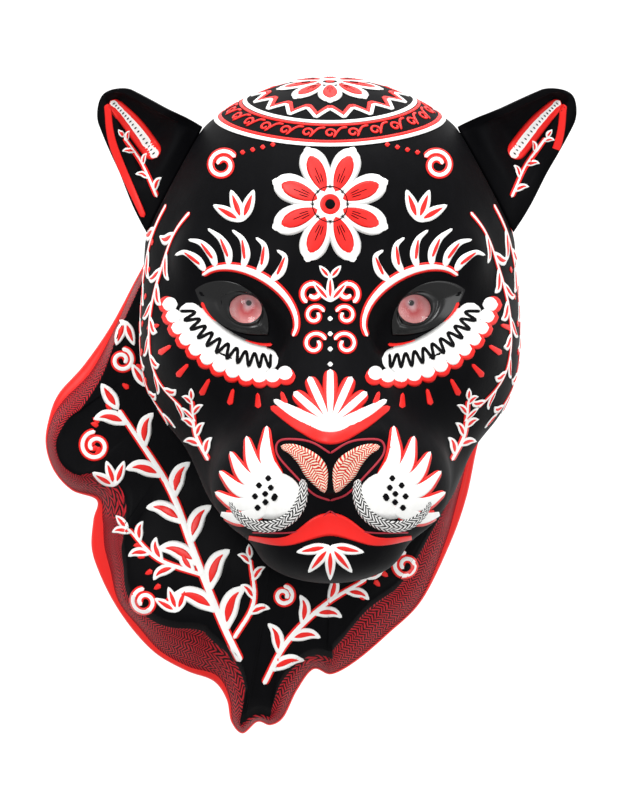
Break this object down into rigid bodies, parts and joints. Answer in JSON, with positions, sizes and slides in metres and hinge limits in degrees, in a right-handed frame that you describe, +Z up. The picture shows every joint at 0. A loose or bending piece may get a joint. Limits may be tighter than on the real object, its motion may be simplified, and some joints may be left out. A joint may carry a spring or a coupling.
{
  "type": "carved cat head wall mask",
  "caption": "Hollow carved wooden mask of a big cat's head with pricked ears, glass eyes and a flared, lobed neck, hung on a wall by a wire ring.",
  "frame": {"origin": "the point on the wall plane level with the place where a wall hook bears under the hanger ring's arc", "axes": "+Z up, +Y into the wall (the face looks along -Y), +X to the right as the face is seen from the front"},
  "size_m": [0.3215, 0.1975, 0.397],
  "materials": {
    "paint_black": "black acrylic paint on carved softwood, satin",
    "paint_red": "bright red acrylic paint in raised strokes",
    "paint_white": "white acrylic paint in raised strokes",
    "bare_wood": "bare light wood",
    "eye_glass": "clear domed glass",
    "iris": "painted pink iris",
    "lid_black": "glossy black modelled putty",
    "steel": "zinc-plated steel"
  },
  "bodies": {
    "mask": {"head_shell": "paint_black", "neck_ruff": "paint_black", "joint_dowels": "bare_wood", "left_ear": "paint_black", "right_ear": "paint_black", "left_ear_dowel": "bare_wood", "right_ear_dowel": "bare_wood", "left_eye_glass": "eye_glass", "right_eye_glass": "eye_glass", "left_iris_disc": "iris", "right_iris_disc": "iris", "left_eyelids": "lid_black", "right_eyelids": "lid_black", "hanger_batten": "bare_wood", "batten_screws": "steel", "hanger_strap": "steel", "strap_screws": "steel"},
    "ring": {"hanger_ring": "steel"}
  },
  "joints": [
    {"name": "ring_swing", "type": "hinge", "parent": "mask", "child": "ring", "pos_m": [0, -0.0046, -0.022], "axis": [1, 0, 0], "range_deg": [-178, 106]}
  ]
}
